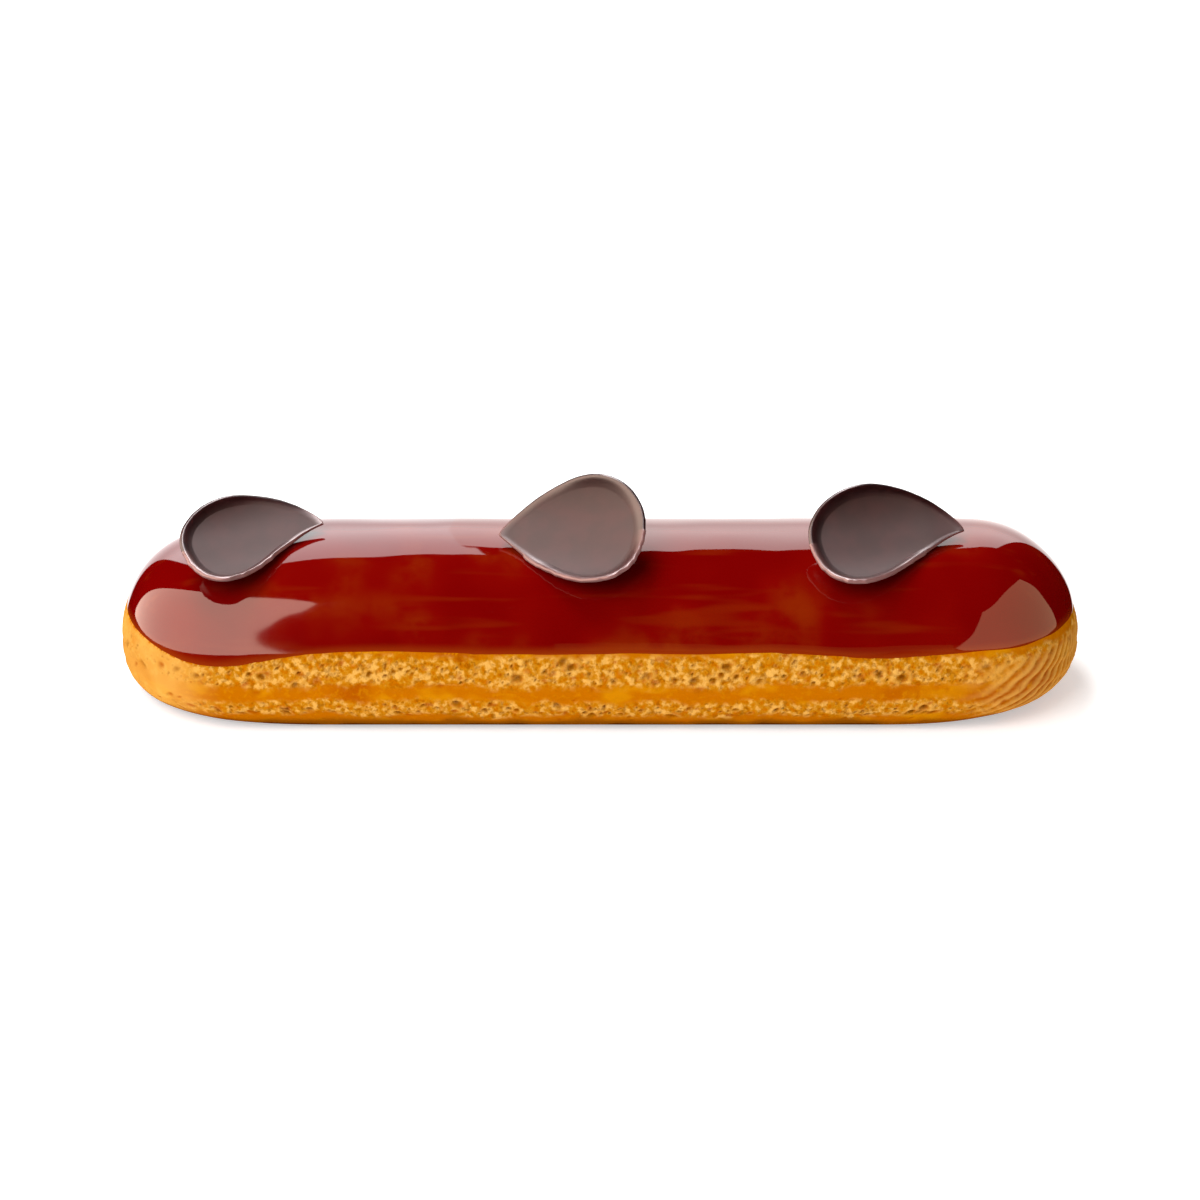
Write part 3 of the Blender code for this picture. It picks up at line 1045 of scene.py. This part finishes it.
@dataclass(frozen=True)
class Card:
    """A bright curved card that chosen glossy pieces reflect.

    Its outline is made of great circles round the eclair. Round its middle direction m,
    the edge with pole p lies, along the spoke s, at the angle atan2(p.m, -p.s).

    Attributes:
        name: the card's name.
        radiance: how bright it is, with a white sheet in the room at 1.
        middle: a bearing inside it: azimuth and elevation, in degrees.
        edges: for each edge, the bearing of its pole: the direction at right angles to
            the edge, on the card's side.
        colour: its tint.
        low_share: how bright it is at its foot, beside its top.
        low_span: the elevations between which it brightens.
    """

    name: str
    radiance: float
    middle: tuple[float, float]
    edges: tuple[tuple[float, float], ...]
    colour: Colour = WHITE
    low_share: float = 1.0
    low_span: tuple[float, float] = (8.0, 28.0)
    distance: float = 1.4
    spokes: int = 120
    rings: int = 40

    def build(self, target: Vector) -> bpy.types.Object:
        """Builds the card round a target."""
        middle = toward(*self.middle)
        across = middle.orthogonal().normalized()
        turn = np.arange(self.spokes)[:, None] / self.spokes * 2 * math.pi
        spoke = np.cos(turn) * np.array(across) + np.sin(turn) * np.array(middle.cross(across))
        reach = np.full(self.spokes, math.pi / 2)
        for bearing in self.edges:
            pole = np.array(toward(*bearing))
            reach = np.minimum(reach, np.arctan2(pole @ np.array(middle), -spoke @ pole))
        angle = np.linspace(0.0, 1.0, self.rings)[:, None, None] * reach[:, None]
        direction = np.cos(angle) * np.array(middle) + np.sin(angle) * spoke
        climb = ease(*self.low_span, np.degrees(np.arcsin(direction[..., 2])))
        glow = self.low_share + (1.0 - self.low_share) * climb
        points = np.array(target) + self.distance * direction
        card = build_piece(self.name, [Sheet(points, {"glow": glow})])
        paint = Recipe(self.name)
        paint.set("Base Color", BLACK)
        paint.set("Specular IOR Level", 0.0)
        paint.set("Emission Color", self.colour)
        paint.set("Emission Strength", paint.times(paint.value("glow"), self.radiance))
        paint.material.cycles.emission_sampling = "NONE"
        card.data.materials.append(paint.material)
        card.visible_camera = False
        card.visible_diffuse = False
        card.visible_shadow = False
        return card


@dataclass(frozen=True)
class Lamp:
    """A soft rectangular lamp.

    Attributes:
        name: the lamp's name.
        bearing: its azimuth and elevation from the eclair, in degrees.
        spread: how wide and how tall it looks from the eclair, in degrees.
        light: what it adds to a white sheet that faces it, with the room's white at 1.
        colour: its colour.
        only_gloss: true if it shines only in gloss, and false if only on matt surfaces.
    """

    name: str
    bearing: tuple[float, float]
    spread: tuple[float, float]
    light: float
    colour: Colour = WHITE
    only_gloss: bool = False
    distance: float = 0.9

    def build(self, target: Vector) -> bpy.types.Object:
        """Places the lamp round a target, facing it."""
        data = bpy.data.lights.new(self.name, "AREA")
        data.shape = "RECTANGLE"
        halves = (math.tan(math.radians(angle / 2)) for angle in self.spread)
        data.size, data.size_y = (2 * self.distance * half for half in halves)
        data.color = self.colour
        data.energy = self.light * (math.pi * self.distance) ** 2
        lamp = bpy.data.objects.new(self.name, data)
        away = toward(*self.bearing)
        lamp.location = target + self.distance * away
        lamp.rotation_euler = (-away).to_track_quat("-Z", "Y").to_euler()
        lamp.visible_camera = False
        lamp.visible_diffuse = not self.only_gloss
        lamp.visible_glossy = self.only_gloss
        bpy.context.scene.collection.objects.link(lamp)
        return lamp


@dataclass(frozen=True)
class Studio:
    """A white floor in an evenly lit room, with cards for the gloss, lamps and the camera."""

    target: Vector
    elevation: float = 27.0
    distance: float = 0.6
    lens: float = 122.4
    sensor: float = 36.0
    near_clip: float = 0.01
    floor_half: float = 3.0
    room: float = 0.32
    floor_shade: float = 0.80
    floor_glow: float = 0.45
    back_left: Card = Card(
        name="back_left", radiance=3.9, middle=(-165.0, 25.0), low_share=0.45,
        edges=((180.0, -28.0), (120.0, 0.0), (-87.0, 0.0), (180.0, 30.0)),
    )
    back_right: Card = Card(
        name="back_right", radiance=3.6, middle=(165.0, 25.0), low_share=0.5, colour=(1.0, 0.95, 0.93),
        edges=((180.0, -40.0), (93.0, 0.0), (-120.0, 0.0), (180.0, 30.0)),
    )
    left: Card = Card(
        name="left", radiance=5.4, middle=(-60.0, 30.0), colour=(1.0, 0.76, 0.62),
        edges=((-95.6, -4.6), (-35.5, -10.0), (-77.7, -12.6), (-160.0, 80.0)),
    )
    right: Card = Card(
        name="right", radiance=2.2, middle=(60.0, 25.0), colour=(1.0, 0.62, 0.36),
        edges=((95.5, -15.0), (55.0, -33.5), (17.5, 0.0), (-170.0, 78.0)),
    )
    low: Card = Card(
        name="low", radiance=0.40, middle=(5.0, 14.0), colour=(1.0, 0.45, 0.10),
        edges=((90.0, 0.0), (-81.0, 0.0), (180.0, 80.0), (0.0, -71.0)),
    )
    overhead: Lamp = Lamp("overhead", (-140.0, 64.0), (24.0, 24.0), 0.9)
    front: Lamp = Lamp("front", (-40.0, 42.0), (40.0, 40.0), 0.95)
    satin: Lamp = Lamp("satin", (180.0, 68.0), (18.0, 48.0), 1.7, (1.0, 0.90, 0.91), only_gloss=True)

    def floor(self) -> None:
        """A large white floor under the eclair."""
        mesh = bpy.data.meshes.new("floor")
        half = self.floor_half
        corners = [(-half, -half, 0.0), (half, -half, 0.0), (half, half, 0.0), (-half, half, 0.0)]
        mesh.from_pydata(corners, [], [(0, 1, 2, 3)])
        paper = Recipe("floor_paper")
        paper.set("Base Color", (self.floor_shade,) * 3)
        paper.set("Roughness", 1.0)
        paper.set("Specular IOR Level", 0.0)
        paper.set("Emission Color", WHITE)
        paper.set("Emission Strength", self.floor_glow)
        mesh.materials.append(paper.material)
        floor = bpy.data.objects.new("floor", mesh)
        floor.visible_glossy = False
        bpy.context.scene.collection.objects.link(floor)

    def world(self) -> None:
        """An even white room that lights matt surfaces and doesn't show in gloss."""
        world = bpy.data.worlds.new("room")
        world.use_nodes = True
        kit = NodeKit(world.node_tree)
        seen = kit.tree.nodes.new("ShaderNodeLightPath").outputs["Is Camera Ray"]
        room = kit.tree.nodes["Background"]
        kit.feed(room.inputs["Color"], WHITE)
        kit.feed(room.inputs["Strength"], kit.math("MAXIMUM", seen, self.room))
        world.cycles_visibility.glossy = False
        bpy.context.scene.world = world

    def camera(self) -> None:
        """A long lens from the front and a little above."""
        data = bpy.data.cameras.new("camera")
        data.lens = self.lens
        data.sensor_width = self.sensor
        data.clip_start = self.near_clip
        camera = bpy.data.objects.new("camera", data)
        away = toward(0.0, self.elevation)
        camera.location = self.target + self.distance * away
        camera.rotation_euler = (-away).to_track_quat("-Z", "Y").to_euler()
        bpy.context.scene.collection.objects.link(camera)
        bpy.context.scene.camera = camera

    def build(self, icing: bpy.types.Object, petals: list[bpy.types.Object]) -> None:
        """Sets up floor, room, lamps, cards and camera.

        Args:
            icing: the piece that mirrors the cards.
            petals: the satin pieces, which catch the satin lamp and the left card.
        """
        self.floor()
        self.world()
        self.overhead.build(self.target)
        self.front.build(self.target)
        only_for(self.satin.build(self.target), petals)
        for card in (self.back_left, self.back_right, self.right, self.low):
            only_for(card.build(self.target), [icing])
        only_for(self.left.build(self.target), [icing, *petals])
        self.camera()
        bpy.context.scene.view_settings.view_transform = "Standard"


# ---------------------------------------------------------------- the eclair


@dataclass
class Eclair:
    """The whole eclair, with its sizes taken from the frame."""

    skin_allowance: float = 0.3 * MM

    def hull(self) -> Hull:
        """The shared hull, from the bun's box and the icing's crest."""
        low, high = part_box("choux_bun")
        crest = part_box("chocolate_icing")[1].z
        return Hull(high.x - low.x + 2 * self.skin_allowance, high.y - low.y, crest)

    def petals(self) -> list[Petal]:
        """The three petals, in order from the left."""
        left = Petal(
            PetalPlace.LEFT, 21.5 * MM, 14.45 * MM, (2.73, 0.32), 1.5 * MM, 0.6 * MM, 0.6 * MM,
            heading=26.0, lean=27.0, lift=1.0, breaks=(0.14,), seed=51,
        )
        middle = Petal(
            PetalPlace.MIDDLE, 21.35 * MM, 17.4 * MM, (1.33, 0.72), 2.1 * MM, 0.9 * MM, 0.5 * MM,
            heading=173.5, lean=36.0, lift=-8.0, breaks=(0.63,), seed=52,
        )
        right = Petal(
            PetalPlace.RIGHT, 23.25 * MM, 15.75 * MM, (2.26, 0.41), 2.1 * MM, 0.4 * MM, 0.6 * MM,
            heading=14.4, lean=36.0, lift=-2.0, breaks=(0.1, 0.43), seed=53,
        )
        return [left, middle, right]

    def build(self) -> list[bpy.types.Object]:
        """Builds every piece, from the bottom up."""
        hull, edge = self.hull(), IcingEdge()
        pieces = [ChouxBun(hull, edge).build(CrustFinish()), Icing(hull, edge).build(IcingFinish())]
        chocolate = PetalFinish().make()
        pieces += [petal.build(chocolate) for petal in self.petals()]
        return pieces


def main() -> None:
    """Builds the eclair and its studio, and reports each piece."""
    logging.basicConfig(level=logging.INFO, format="%(name)s: %(message)s")
    pieces = Eclair().build()
    for piece in pieces:
        LOG.info("%s has %d faces", piece.name, len(piece.data.polygons))
    Studio(target=Vector((0.0, 0.0, 13.2 * MM))).build(pieces[1], pieces[2:])


if __name__ == "__main__":
    main()
